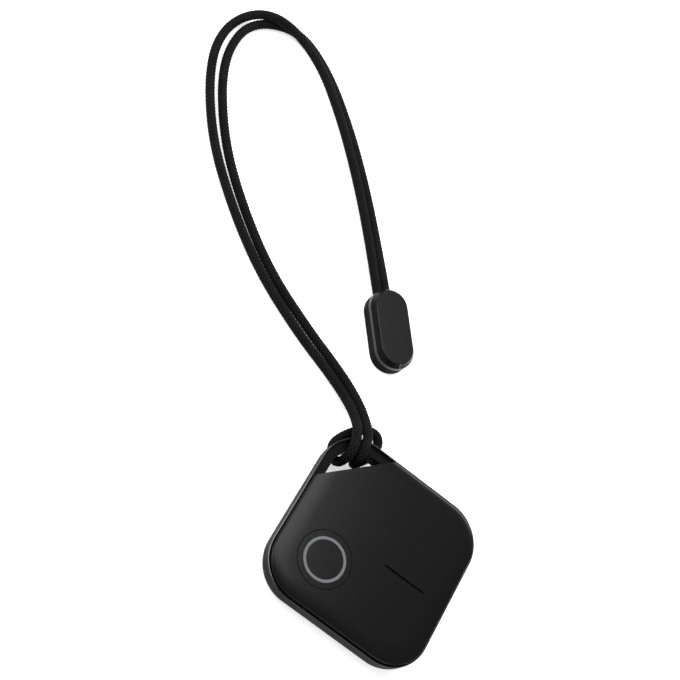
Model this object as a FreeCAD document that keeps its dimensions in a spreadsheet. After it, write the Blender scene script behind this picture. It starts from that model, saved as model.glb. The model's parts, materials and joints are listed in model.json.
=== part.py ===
"""Bluetooth tracker tag with its doubled lanyard.

The tag lies on its back. Z points out of the front cover and z = 0 is the back face.
X and Y run along the sides of the square body, the origin is under its middle, and the
corner with the lanyard hole is the one towards +X +Y. All sizes are millimetres.
"""
import FreeCAD, Part
import Sketcher
import math
import os
import re

SIZES = {
    # tag body
    "body_width": 38.2,
    "corner_round": 8.8,
    "rim_height": 6.2,
    "underside_round": 4.2,
    "rim_width": 0.35,
    "rim_edge_round": 0.1,
    "face_recess": 0.6,
    "seat_inset": 0.4,
    "seat_depth": 1.2,
    "cavity_inset": 2.0,
    "cavity_round": 2.4,
    "floor_thickness": 1.5,
    "fit_gap": 0.1,
    "least_side": 0.01,
    # lanyard hole and the bar round it
    "cut_offset": 16.9,
    "bar_width": 2.4,
    "bar_bottom": 2.3,
    "diagonal_wall": 1.3,
    # front cover
    "cover_inset": 0.5,
    "cover_brow": 0.5,
    "cover_crown": 1.0,
    "crown_reach": 4.5,
    "cover_thickness": 1.0,
    "cover_skirt": 1.5,
    "gasket_height": 0.25,
    # press button and its switch
    "button_x": -8.3,
    "button_y": 8.2,
    "button_radius": 5.85,
    "button_flange": 0.65,
    "button_post": 1.2,
    "button_travel": 0.25,
    "button_wall": 0.8,
    "flange_height": 0.4,
    "flange_gap": 0.15,
    "mark_radius": 4.6,
    "mark_width": 0.6,
    "mark_depth": 0.2,
    "switch_width": 3.4,
    "switch_height": 0.6,
    "plunger_radius": 0.8,
    "plunger_rise": 0.3,
    "post_gap": 0.05,
    # sounder behind the slit
    "slit_x": -1.6,
    "slit_y": -8.0,
    "slit_length": 10.0,
    "slit_width": 0.4,
    "sounder_radius": 6.5,
    "sounder_plate": 0.15,
    "ceramic_inset": 1.8,
    "gasket_width": 0.6,
    "gasket_depth": 0.3,
    "mesh_width": 1.6,
    "mesh_thickness": 0.08,
    "spring_x": 1.0,
    "spring_width": 0.8,
    # battery, its door and its contacts
    "door_x": -2.4,
    "door_y": -2.4,
    "cell_radius": 10.0,
    "cell_height": 3.2,
    "cell_bottom": 0.95,
    "cell_shoulder": 0.25,
    "cell_cap_inset": 1.1,
    "door_rest": 0.05,
    "door_plate": 0.75,
    "neck_gap": 0.3,
    "door_neck": 0.7,
    "door_flange": 1.3,
    "door_seal": 0.25,
    "ledge_thickness": 0.4,
    "lug_reach": 0.65,
    "lug_height": 0.4,
    "lug_angle": 34.0,
    "notch_angle": 40.0,
    "door_twist": 40.0,
    "coin_slot_length": 13.0,
    "coin_slot_width": 1.8,
    "coin_slot_depth": 0.4,
    "frame_wall": 1.3,
    "frame_gap": 0.25,
    "frame_slot": 3.6,
    "contact_low": 2.6,
    "contact_gap": 0.03,
    "pad_inset": 2.0,
    "contact_width": 3.0,
    "leaf_width": 2.5,
    "leaf_root": 4.0,
    "leaf_bend": 1.0,
    "leaf_reach": 3.5,
    "contact_thickness": 0.15,
    # circuit board
    "board_bottom": 4.5,
    "board_thickness": 0.6,
    "board_inset": 2.3,
    "board_gap": 0.3,
    "screw_offset": 13.2,
    "top_screw_x": 2.0,
    "top_screw_y": 13.8,
    "screw_radius": 0.5,
    "screw_head": 1.1,
    "screw_head_height": 0.5,
    "screw_lift": 0.5,
    "driver_slot": 0.3,
    "boss_radius": 1.5,
    "radio_x": 7.0,
    "radio_y": 4.0,
    "shield_width": 6.4,
    "shield_height": 0.9,
    "shield_wall": 0.15,
    "shield_round": 0.4,
    "chip_width": 4.0,
    "chip_height": 0.5,
    "crystal_x": 12.2,
    "crystal_width": 1.6,
    "crystal_length": 2.0,
    "antenna_x": 15.6,
    "antenna_y": -4.0,
    "antenna_width": 1.6,
    "antenna_length": 3.2,
    "antenna_height": 0.6,
    "passive_length": 1.0,
    "passive_width": 0.5,
    "passive_height": 0.35,
    "passive_x": 3.6,
    "passive_y": 9.2,
    "passive_step": 1.4,
    "passive_row": 1.1,
    # lanyard
    "cord_diameter": 2.1,
    "end_x": 45.2,
    "end_y": 20.1,
    "end_angle": 38.4,
    "end_length": 18.2,
    "end_width": 8.95,
    "end_height": 5.3,
    "end_seam": 0.15,
    "end_bevel_in": 1.3,
    "end_bevel_down": 0.8,
    "end_underside_round": 0.6,
    "end_floor": 0.3,
    "end_roof": 1.2,
    "crimp_x": 4.9,
    "crimp_length": 3.0,
    "crimp_bottom": 0.4,
    "crimp_height": 2.3,
    "crimp_wall": 0.2,
}

# Middle line of the lanyard cord from one end in the end piece, round the corner bar
# of the tag in a girth hitch and back to the end piece.
CORD_ROUTE = [
    (48.45, 24.1, 1.6), (58.5, 32.5, 2.0), (70.8, 43.7, 2.4), (81.3, 54.9, 2.8),
    (89.8, 66.1, 3.1), (92.6, 77.0, 3.6), (90.4, 83.9, 2.6), (83.2, 87.6, 1.05),
    (72.6, 85.6, 1.05), (58.4, 76.2, 1.05), (48.0, 64.9, 1.05), (38.3, 51.0, 1.05),
    (31.9, 36.3, 1.05), (28.7, 25.9, 1.05), (25.4, 19.5, 2.2), (21.6, 16.5, 4.8),
    (17.9, 15.4, 7.5), (13.4, 14.5, 7.6), (12.4, 14.8, 1.05), (15.4, 17.8, 1.05),
    (18.5, 16.8, 2.2), (22.9, 13.6, 2.2), (23.6, 9.7, 1.6), (19.6, 8.6, 1.05),
    (14.1, 12.1, 1.05),
    (14.6, 12.4, 7.6), (19.05, 13.2, 7.45), (22.8, 14.7, 4.8), (26.9, 17.8, 2.2),
    (30.6, 24.3, 1.05), (34.0, 34.9, 1.05), (39.8, 49.0, 1.05), (49.3, 62.6, 1.05),
    (59.3, 73.3, 1.05), (73.1, 82.6, 1.05), (83.8, 84.6, 1.05), (90.6, 81.4, 1.05),
    (94.6, 73.5, 1.05), (90.6, 63.2, 1.05), (82.4, 52.5, 1.05), (72.8, 42.4, 1.15),
    (60.2, 31.1, 1.35), (49.85, 22.3, 1.4),
]
HITCH_FIRST_RUN = 16
HITCH_LAST_RUN = 25
# Each bend takes this share of the shorter run beside it.
CORNER_SHARE = 0.45
VOLUME_TOLERANCE = 0.01

# Levels and radii that several pieces share.
COVER_TOP = "(rim_height + cover_crown)"
COVER_ROOF = "(rim_height + cover_crown - cover_thickness)"
BOARD_TOP = "(board_bottom + board_thickness)"
PLUNGER_TOP = f"({BOARD_TOP} + switch_height + plunger_rise)"
NECK_IN = "(cell_radius + neck_gap)"
NECK_OUT = "(cell_radius + neck_gap + door_neck)"
DOOR_TOP = "(door_rest + door_plate)"
LUG_BOTTOM = "(floor_thickness + door_rest)"
LUG_TOP = "(floor_thickness + door_rest + lug_height)"

doc = FreeCAD.newDocument("TrackerTag")


# ---------------------------------------------------------------- sheet and expressions
def make_sheet():
    """Spreadsheet with every driving dimension."""
    sheet = doc.addObject("Spreadsheet::Sheet", "Sizes")
    for row, (name, number) in enumerate(SIZES.items(), start=1):
        sheet.set(f"A{row}", name)
        sheet.set(f"B{row}", str(number))
        sheet.setAlias(f"B{row}", name)
    doc.recompute()
    return sheet


def linked(text):
    """Expression text with each size's name pointed at its cell."""
    return re.sub(r"[a-z]+(?:_[a-z]+)+", lambda word: "Sizes." + word.group(), text)


def amount(text):
    """Number that an expression comes to now."""
    return float(PROBE.evalExpression(linked(text)))


def bind(thing, prop, text):
    thing.setExpression(prop, linked(text))


# ---------------------------------------------------------------- bodies and sketches
def new_body(label, x=None, y=None):
    """Body whose own origin stands at (x, y) of the tag."""
    body = doc.addObject("PartDesign::Body", label)
    body.Label = label
    if x is not None:
        bind(body, "Placement.Base.x", x)
        bind(body, "Placement.Base.y", y)
    return body


def new_sketch(body, height="0", role="XY_Plane"):
    """Sketch on one of the body's own planes, lifted along that plane's normal."""
    sketch = body.newObject("Sketcher::SketchObject", "Sketch")
    plane = next(item for item in body.Origin.OriginFeatures if item.Role == role)
    sketch.AttachmentSupport = [(plane, "")]
    sketch.MapMode = "FlatFace"
    bind(sketch, "AttachmentOffset.Base.z", height)
    return sketch


def constrain(sketch, kind, *where, text=None):
    """Constraint, with its value bound to an expression when there is one."""
    if text is None:
        return sketch.addConstraint(Sketcher.Constraint(kind, *where))
    index = sketch.addConstraint(Sketcher.Constraint(kind, *where, amount(text)))
    bind(sketch, f"Constraints[{index}]", text)
    return index


def add_polygon(sketch, corners):
    """Closed outline through corners given as pairs of expressions."""
    spots = [FreeCAD.Vector(amount(x), amount(y), 0) for x, y in corners]
    base = sketch.GeometryCount
    count = len(spots)
    for i in range(count):
        sketch.addGeometry(Part.LineSegment(spots[i], spots[(i + 1) % count]))
    for i in range(count):
        constrain(sketch, "Coincident", base + i, 2, base + (i + 1) % count, 1)
    for i, (x, y) in enumerate(corners):
        constrain(sketch, "DistanceX", -1, 1, base + i, 1, text=x)
        constrain(sketch, "DistanceY", -1, 1, base + i, 1, text=y)


def add_rectangle(sketch, x_low, x_high, y_low, y_high):
    add_polygon(sketch, [(x_low, y_low), (x_high, y_low), (x_high, y_high), (x_low, y_high)])


def add_circle(sketch, radius, x="0", y="0"):
    centre = FreeCAD.Vector(amount(x), amount(y), 0)
    index = sketch.addGeometry(Part.Circle(centre, FreeCAD.Vector(0, 0, 1), amount(radius)))
    constrain(sketch, "DistanceX", -1, 1, index, 3, text=x)
    constrain(sketch, "DistanceY", -1, 1, index, 3, text=y)
    constrain(sketch, "Radius", index, text=radius)


def trace_sides(sketch, x_half, y_half, radius, ends):
    """Four sides of a rectangle, anticlockwise, and arcs at the corners that are rounded.

    ends gives, for each side, how far its start and its stop are drawn in, and whether an
    arc follows it. Returns the lines' and the arcs' indices.
    """
    starts = [(-x_half, -y_half), (x_half, -y_half), (x_half, y_half), (-x_half, y_half)]
    steps = [(1, 0), (0, 1), (-1, 0), (0, -1)]
    lines = []
    arcs = {}
    for side, (start_in, stop_in, rounded) in enumerate(ends):
        (x, y), (dx, dy), (tx, ty) = starts[side], steps[side], starts[(side + 1) % 4]
        start = FreeCAD.Vector(x + dx * start_in, y + dy * start_in, 0)
        stop = FreeCAD.Vector(tx - dx * stop_in, ty - dy * stop_in, 0)
        lines.append(sketch.addGeometry(Part.LineSegment(start, stop)))
        if rounded:
            hub = stop + FreeCAD.Vector(-dy, dx, 0) * radius
            circle = Part.Circle(hub, FreeCAD.Vector(0, 0, 1), radius)
            angle = math.radians(90 * side - 90)
            arcs[side] = sketch.addGeometry(Part.ArcOfCircle(circle, angle, angle + math.pi / 2))
    return lines, arcs


def hold_sides(sketch, lines, arcs, half_x, half_y, radius):
    """Constrain the sides to their distances and the arcs to be tangent and equal."""
    for line, kind in zip(lines, ("Horizontal", "Vertical", "Horizontal", "Vertical")):
        constrain(sketch, kind, line)
    for side, arc in arcs.items():
        constrain(sketch, "Tangent", lines[side], 2, arc, 1)
        constrain(sketch, "Tangent", arc, 2, lines[(side + 1) % 4], 1)
    constrain(sketch, "DistanceY", -1, 1, lines[0], 1, text=f"-({half_y})")
    constrain(sketch, "DistanceX", -1, 1, lines[1], 1, text=half_x)
    constrain(sketch, "DistanceY", -1, 1, lines[2], 1, text=half_y)
    constrain(sketch, "DistanceX", -1, 1, lines[3], 1, text=f"-({half_x})")
    first, *others = arcs.values()
    constrain(sketch, "Radius", first, text=radius)
    for arc in others:
        constrain(sketch, "Equal", first, arc)


def add_rounded_box(sketch, half_x, half_y, radius):
    """Rectangle about the sketch's origin with its four corners rounded."""
    drawn_in = amount(radius)
    ends = [(drawn_in, drawn_in, True)] * 4
    lines, arcs = trace_sides(sketch, amount(half_x), amount(half_y), drawn_in, ends)
    hold_sides(sketch, lines, arcs, half_x, half_y, radius)


def add_pentagon(sketch, inset, diagonal):
    """The body's square drawn in by an inset, with the lanyard's corner cut off.

    The cut is at a distance from the middle; the other three corners stay concentric
    with the body's own.
    """
    side = f"(body_width / 2 - ({inset}))"
    radius = f"(corner_round - ({inset}))"
    reach = f"(({diagonal}) * sqrt(2) - {side})"
    half = amount(side)
    drawn_in = amount(radius)
    cut = half - amount(reach)
    ends = [(drawn_in, drawn_in, True), (drawn_in, cut, False),
            (cut, drawn_in, True), (drawn_in, drawn_in, True)]
    lines, arcs = trace_sides(sketch, half, half, drawn_in, ends)
    hold_sides(sketch, lines, arcs, side, side, radius)
    slope = sketch.addGeometry(Part.LineSegment(FreeCAD.Vector(half, half - cut, 0),
                                                FreeCAD.Vector(half - cut, half, 0)))
    constrain(sketch, "Coincident", lines[1], 2, slope, 1)
    constrain(sketch, "Coincident", slope, 2, lines[2], 1)
    constrain(sketch, "DistanceY", -1, 1, slope, 1, text=reach)
    constrain(sketch, "DistanceX", -1, 1, slope, 2, text=reach)


# ---------------------------------------------------------------- features
def add_pad(body, sketch, length):
    pad = body.newObject("PartDesign::Pad", "Pad")
    pad.Profile = sketch
    bind(pad, "Length", length)
    doc.recompute()
    return pad


def add_pocket(body, sketch, length, upward=False):
    """Pocket that cuts down from the sketch, or up where upward is set."""
    before = body.Shape.Volume
    pocket = body.newObject("PartDesign::Pocket", "Pocket")
    pocket.Profile = sketch
    pocket.Reversed = upward
    bind(pocket, "Length", length)
    doc.recompute()
    if not body.Shape.Volume < before:
        raise ValueError(f"a pocket of {body.Label} cuts nothing")
    return pocket


def add_revolution(body, corners):
    """Turned solid about the body's Z axis from (radius, height) corners."""
    sketch = new_sketch(body, role="XZ_Plane")
    add_polygon(sketch, corners)
    turned = body.newObject("PartDesign::Revolution", "Revolution")
    turned.Profile = sketch
    turned.ReferenceAxis = (sketch, ["V_Axis"])
    turned.Angle = 360
    doc.recompute()
    return turned


def add_polar_copies(body, feature, sketch, count):
    pattern = body.newObject("PartDesign::PolarPattern", "PolarPattern")
    pattern.Originals = [feature]
    pattern.Axis = (sketch, ["N_Axis"])
    pattern.Angle = 360
    pattern.Occurrences = count
    body.Tip = pattern
    doc.recompute()
    return pattern


def add_fillet(body, names, radius):
    worked = body.Tip
    fillet = body.newObject("PartDesign::Fillet", "Fillet")
    fillet.Base = (worked, names)
    bind(fillet, "Radius", radius)
    body.Tip = fillet
    doc.recompute()
    return fillet


def level_edges(body, height, keep=lambda box: True):
    """Names of the edges that lie flat at one height and pass a test on their box."""
    found = []
    for index, edge in enumerate(body.Tip.Shape.Edges, start=1):
        box = edge.BoundBox
        if box.ZLength < 0.001 and abs(box.ZMin - height) < 0.001 and keep(box):
            found.append(f"Edge{index}")
    return found


# ---------------------------------------------------------------- the tag's plan shape
def beyond_diagonal(diagonal):
    """Triangle that takes in all of the corner past the diagonal."""
    far = "(body_width)"
    near = f"(({diagonal}) * sqrt(2) - {far})"
    return [(far, near), (far, far), (near, far)]


# ---------------------------------------------------------------- housing
def make_rear_shell():
    """Glossy back half: rim, seat for the cover, battery opening and the lanyard bar."""
    body = new_body("rear_shell")
    outline = new_sketch(body)
    add_rounded_box(outline, "body_width / 2", "body_width / 2", "corner_round")
    add_pad(body, outline, "rim_height")
    add_fillet(body, level_edges(body, 0), "underside_round")

    recess = new_sketch(body, "rim_height")
    rim_half = "body_width / 2 - rim_width"
    add_rounded_box(recess, rim_half, rim_half, "corner_round - rim_width")
    add_pocket(body, recess, "face_recess")
    rim_top = amount("rim_height")
    add_fillet(body, level_edges(body, rim_top), "rim_edge_round")

    seat = new_sketch(body, "rim_height")
    add_pentagon(seat, "seat_inset", "cut_offset + fit_gap")
    add_pocket(body, seat, "seat_depth")

    cavity = new_sketch(body, "rim_height")
    add_pentagon(cavity, "cavity_inset", "cut_offset - diagonal_wall")
    add_pocket(body, cavity, "rim_height - floor_thickness")
    floor_level = amount("floor_thickness")
    add_fillet(body, level_edges(body, floor_level), "cavity_round")

    add_lanyard_hole(body)
    add_battery_opening(body)
    add_screw_bosses(body)
    return body


def add_lanyard_hole(body):
    """Three-sided hole through the corner, and the step under it that frees the bar."""
    relief = new_sketch(body)
    add_polygon(relief, beyond_diagonal("cut_offset"))
    add_pocket(body, relief, "bar_bottom", upward=True)
    hole = new_sketch(body, "rim_height")
    add_hole_outline(hole)
    add_pocket(body, hole, "rim_height")


def add_hole_outline(sketch):
    """Two legs along the body's sides, an arc concentric with its corner, and the cut line."""
    leg = "(body_width / 2 - bar_width)"
    foot = f"(cut_offset * sqrt(2) - {leg})"
    hub = "(body_width / 2 - corner_round)"
    far, near, middle = amount(leg), amount(foot), amount(hub)
    rising = Part.LineSegment(FreeCAD.Vector(far, near, 0), FreeCAD.Vector(far, middle, 0))
    corner = Part.Circle(FreeCAD.Vector(middle, middle, 0), FreeCAD.Vector(0, 0, 1), far - middle)
    level = Part.LineSegment(FreeCAD.Vector(middle, far, 0), FreeCAD.Vector(near, far, 0))
    slope = Part.LineSegment(FreeCAD.Vector(near, far, 0), FreeCAD.Vector(far, near, 0))
    for curve in (rising, Part.ArcOfCircle(corner, 0, math.pi / 2), level, slope):
        sketch.addGeometry(curve)
    constrain(sketch, "Vertical", 0)
    constrain(sketch, "Horizontal", 2)
    constrain(sketch, "Tangent", 0, 2, 1, 1)
    constrain(sketch, "Tangent", 1, 2, 2, 1)
    constrain(sketch, "Coincident", 2, 2, 3, 1)
    constrain(sketch, "Coincident", 3, 2, 0, 1)
    constrain(sketch, "DistanceX", -1, 1, 0, 1, text=leg)
    constrain(sketch, "DistanceY", -1, 1, 2, 1, text=leg)
    constrain(sketch, "Radius", 1, text="corner_round - bar_width")
    constrain(sketch, "DistanceY", -1, 1, 0, 1, text=foot)
    constrain(sketch, "DistanceX", -1, 1, 2, 2, text=foot)


def add_battery_opening(body):
    """Round opening with a recess for the door, a ledge for its lugs and three notches."""
    recess = new_sketch(body)
    add_circle(recess, f"{NECK_OUT} + fit_gap + door_flange", "door_x", "door_y")
    add_pocket(body, recess, "floor_thickness - ledge_thickness", upward=True)
    throat = new_sketch(body)
    add_circle(throat, f"{NECK_OUT} + fit_gap", "door_x", "door_y")
    add_pocket(body, throat, "floor_thickness", upward=True)

    notch = new_sketch(body)
    bind(notch, "AttachmentOffset.Base.x", "door_x")
    bind(notch, "AttachmentOffset.Base.y", "door_y")
    reach = f"{NECK_OUT} + lug_reach + 2 * fit_gap"
    add_sector(notch, "cell_radius", reach, "-door_twist", "notch_angle")
    cut = add_pocket(body, notch, "floor_thickness", upward=True)
    add_polar_copies(body, cut, notch, 3)


def add_sector(sketch, inner, outer, middle, spread):
    """Four-sided piece of a ring, between two radii, about an angle in degrees."""
    corners = []
    for radius, side in ((inner, -1), (outer, -1), (outer, 1), (inner, 1)):
        angle = f"(({middle}) + {side} * ({spread}) / 2) * 1deg"
        scale = f"(({radius}) / cos(({spread}) / 2 * 1deg))"
        corners.append((f"{scale} * cos({angle})", f"{scale} * sin({angle})"))
    add_polygon(sketch, corners)


SCREW_SPOTS = [("-screw_offset", "-screw_offset"), ("screw_offset", "-screw_offset"),
               ("top_screw_x", "top_screw_y")]


def add_screw_bosses(body):
    """Posts that carry the circuit board, bored for its screws."""
    posts = new_sketch(body, "floor_thickness")
    for x, y in SCREW_SPOTS:
        add_circle(posts, "boss_radius", x, y)
    add_pad(body, posts, "board_bottom - floor_thickness")
    bores = new_sketch(body, "board_bottom")
    for x, y in SCREW_SPOTS:
        add_circle(bores, "screw_radius + fit_gap / 2", x, y)
    add_pocket(body, bores, "board_bottom - floor_thickness - fit_gap")


def make_front_cover():
    """Matt front with a softly rounded edge, the button's hole and the sound slit."""
    body = new_body("front_cover")
    foot = "(rim_height - seat_depth + gasket_height)"
    brow = "(rim_height + cover_brow)"
    half = "(body_width / 2 - cover_inset)"
    skirt = new_sketch(body, foot)
    add_rounded_box(skirt, half, half, "corner_round - cover_inset")
    add_pad(body, skirt, f"{brow} - {foot}")

    add_crown(body, brow, half)

    corner = new_sketch(body, COVER_TOP)
    add_polygon(corner, beyond_diagonal("cut_offset"))
    add_pocket(body, corner, f"{COVER_TOP} - {foot}")

    hollow = new_sketch(body, foot)
    inset = "cover_inset + cover_skirt"
    add_pentagon(hollow, inset, "cut_offset - cover_skirt")
    add_pocket(body, hollow, f"{COVER_ROOF} - {foot}", upward=True)

    hole = new_sketch(body, COVER_TOP)
    add_circle(hole, "button_radius + fit_gap", "button_x", "button_y")
    add_pocket(body, hole, "cover_thickness + fit_gap")

    slit = new_sketch(body, COVER_TOP)
    bind(slit, "AttachmentOffset.Base.x", "slit_x")
    bind(slit, "AttachmentOffset.Base.y", "slit_y")
    add_rounded_box(slit, "slit_width / 2", "slit_length / 2", "slit_width / 2 - least_side")
    add_pocket(body, slit, "cover_thickness + fit_gap")
    return body


# Shares of the crown's reach at which its outline is drawn, from the cover's edge inwards.
CROWN_STEPS = (0, 0.02, 0.1, 0.25, 0.5, 0.75, 1)
CROWN_POWER = 2.5


def add_crown(body, brow, half):
    """Loft from the cover's edge up to its flat middle, steep at first and then level."""
    sections = []
    for share in CROWN_STEPS:
        rise = (1 - (1 - share) ** CROWN_POWER) ** (1 / CROWN_POWER)
        section = new_sketch(body, f"{brow} + (cover_crown - cover_brow) * {rise:.4f}")
        side = f"({half} - crown_reach * {share})"
        add_rounded_box(section, side, side, f"corner_round - cover_inset - crown_reach * {share}")
        sections.append(section)
    dome = body.newObject("PartDesign::AdditiveLoft", "Dome")
    dome.Profile = sections[0]
    dome.Sections = sections[1:]
    doc.recompute()


def make_cover_gasket():
    """Soft ring between the cover's skirt and the ledge it is pressed on."""
    body = new_body("cover_gasket")
    level = "(rim_height - seat_depth)"
    outer = new_sketch(body, level)
    add_pentagon(outer, "cover_inset + fit_gap", "cut_offset - fit_gap")
    add_pad(body, outer, "gasket_height")
    inner = new_sketch(body, f"{level} + gasket_height")
    add_pentagon(inner, "cover_inset + cover_skirt - fit_gap", "cut_offset - cover_skirt + fit_gap")
    add_pocket(body, inner, "gasket_height")
    return body


# ---------------------------------------------------------------- press button
def make_function_button():
    """Round cap flush with the cover, with a flange that keeps it in and a post below."""
    body = new_body("function_button", "button_x", "button_y")
    flange_top = f"({COVER_ROOF} - flange_gap)"
    flange_bottom = f"({flange_top} - flange_height)"
    ceiling = f"({COVER_TOP} - button_wall)"
    post_foot = f"({PLUNGER_TOP} + post_gap)"
    lip = "(button_radius - button_wall)"
    ring_out = "mark_radius"
    ring_in = "(mark_radius - mark_width)"
    ring_floor = f"({COVER_TOP} - mark_depth)"
    add_revolution(body, [
        ("0", COVER_TOP), ("0", post_foot), ("button_post", post_foot),
        ("button_post", ceiling), (lip, ceiling), (lip, flange_bottom),
        ("button_radius + button_flange", flange_bottom),
        ("button_radius + button_flange", flange_top), ("button_radius", flange_top),
        ("button_radius", COVER_TOP), (ring_out, COVER_TOP), (ring_out, ring_floor),
        (ring_in, ring_floor), (ring_in, COVER_TOP)])
    return body


def make_button_ring():
    """Plain grey ring let into the button's top."""
    body = new_body("button_ring", "button_x", "button_y")
    floor = f"({COVER_TOP} - mark_depth)"
    add_revolution(body, [
        ("mark_radius - mark_width", floor), ("mark_radius", floor),
        ("mark_radius", COVER_TOP), ("mark_radius - mark_width", COVER_TOP)])
    return body


def make_switch_body():
    """Square housing of the tactile switch on the board, with the plunger's bore."""
    body = new_body("switch_body", "button_x", "button_y")
    outline = new_sketch(body, BOARD_TOP)
    half = "switch_width / 2"
    add_rounded_box(outline, half, half, "switch_width / 10")
    add_pad(body, outline, "switch_height")
    bore = new_sketch(body, f"{BOARD_TOP} + switch_height")
    add_circle(bore, "plunger_radius + fit_gap")
    add_pocket(body, bore, "switch_height - post_gap")
    return body


def make_switch_plunger():
    """Plunger that the button's post drives down into the switch."""
    body = new_body("switch_plunger", "button_x", "button_y")
    low = f"({BOARD_TOP} + button_travel + fit_gap)"
    foot = new_sketch(body, low)
    add_circle(foot, "plunger_radius")
    add_pad(body, foot, f"{PLUNGER_TOP} - {low}")
    return body


# ---------------------------------------------------------------- battery compartment
def make_battery_door():
    """Bayonet door in the back: plate, neck round the cell, three lugs and a coin slot."""
    body = new_body("battery_door", "door_x", "door_y")
    plate_edge = f"({NECK_OUT} + door_flange - fit_gap)"
    add_revolution(body, [
        ("0", "door_rest"), (plate_edge, "door_rest"), (plate_edge, DOOR_TOP), (NECK_OUT, DOOR_TOP),
        (NECK_OUT, LUG_TOP), (NECK_IN, LUG_TOP), (NECK_IN, DOOR_TOP), ("0", DOOR_TOP)])
    lug = new_sketch(body, LUG_BOTTOM)
    lug_root = f"({NECK_OUT} - 2 * fit_gap)"
    lug_tip = f"({NECK_OUT} + lug_reach) * cos(lug_angle / 2 * 1deg)"
    add_sector(lug, lug_root, lug_tip, "0", "lug_angle")
    tab = add_pad(body, lug, "lug_height")
    add_polar_copies(body, tab, lug, 3)

    slot = new_sketch(body, "door_rest")
    round_end = "coin_slot_width / 2 - least_side"
    add_rounded_box(slot, "coin_slot_length / 2", "coin_slot_width / 2", round_end)
    add_pocket(body, slot, "coin_slot_depth", upward=True)
    return body


def make_ring(label, x, y, inner, outer, low, height):
    """Flat ring about a point of the tag."""
    body = new_body(label, x, y)
    outline = new_sketch(body, low)
    add_circle(outline, outer)
    add_circle(outline, inner)
    add_pad(body, outline, height)
    return body


def make_disc(label, x, y, radius, low, height):
    body = new_body(label, x, y)
    outline = new_sketch(body, low)
    add_circle(outline, radius)
    add_pad(body, outline, height)
    return body


def make_door_seal():
    """Square-section ring on the door's plate, under the shell's ledge."""
    return make_ring("door_seal", "door_x", "door_y", f"{NECK_OUT} + fit_gap",
                     f"{NECK_OUT} + door_flange - 3 * fit_gap", DOOR_TOP, "door_seal")


def make_door_pad():
    """Thin foam disc that keeps the cell from rattling on the door."""
    return make_disc("door_pad", "door_x", "door_y", "cell_radius - pad_inset",
                     DOOR_TOP, f"cell_bottom - contact_gap - {DOOR_TOP}")


def make_coin_cell():
    """Coin cell, its wide can towards the door and its smaller cap towards the board."""
    body = new_body("coin_cell", "door_x", "door_y")
    shoulder = "(cell_bottom + cell_height - cell_shoulder)"
    top = "(cell_bottom + cell_height)"
    cap = "(cell_radius - cell_cap_inset)"
    add_revolution(body, [
        ("0", "cell_bottom"), ("cell_radius", "cell_bottom"), ("cell_radius", shoulder),
        (cap, shoulder), (cap, top), ("0", top)])
    return body


def make_battery_frame():
    """Moulded ring under the board that guides the cell, open for the side contact."""
    body = new_body("battery_frame", "door_x", "door_y")
    inner = "(cell_radius + frame_gap)"
    low = f"({LUG_TOP} + flange_gap)"
    ring = new_sketch(body, low)
    add_circle(ring, f"{inner} + frame_wall")
    add_circle(ring, inner)
    add_pad(body, ring, f"board_bottom - {low}")
    slot = new_sketch(body, "board_bottom")
    add_rectangle(slot, "0", f"{inner} + frame_wall + fit_gap", "-frame_slot / 2", "frame_slot / 2")
    add_pocket(body, slot, f"board_bottom - {low}")
    return body


def make_positive_contact():
    """Upright leaf from the board that bears on the side of the cell's can."""
    body = new_body("positive_contact", "door_x", "door_y")
    leaf = new_sketch(body, "contact_low")
    near = "(cell_radius + contact_gap)"
    add_rectangle(leaf, near, f"{near} + contact_thickness", "-contact_width / 2", "contact_width / 2")
    add_pad(body, leaf, "board_bottom - contact_low")
    return body


def make_negative_contact():
    """Sprung leaf under the board, bent down on to the cell's cap."""
    body = new_body("negative_contact", "door_x", "door_y")
    side = new_sketch(body, "-leaf_width / 2", role="XZ_Plane")
    top = "board_bottom"
    under = f"({top} - contact_thickness)"
    tip = "(cell_bottom + cell_height + contact_gap)"
    tip_top = f"({tip} + contact_thickness * 0.8)"
    root = "-leaf_root"
    bend = "-leaf_bend"
    add_polygon(side, [
        (root, top), (root, under), (bend, under), ("leaf_reach - 2", tip), ("leaf_reach", tip),
        ("leaf_reach", tip_top), ("leaf_reach - 1.9", tip_top), (f"{bend} + fit_gap", top)])
    add_pad(body, side, "leaf_width")
    return body


# ---------------------------------------------------------------- circuit board
def make_circuit_board():
    """Board that fills the housing over the cell, with its three screw holes."""
    body = new_body("circuit_board")
    outline = new_sketch(body, "board_bottom")
    diagonal = "cut_offset - diagonal_wall - board_gap"
    add_pentagon(outline, "board_inset", diagonal)
    add_pad(body, outline, "board_thickness")
    holes = new_sketch(body, BOARD_TOP)
    for x, y in SCREW_SPOTS:
        add_circle(holes, "screw_radius + flange_gap", x, y)
    add_pocket(body, holes, "board_thickness")
    return body


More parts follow.
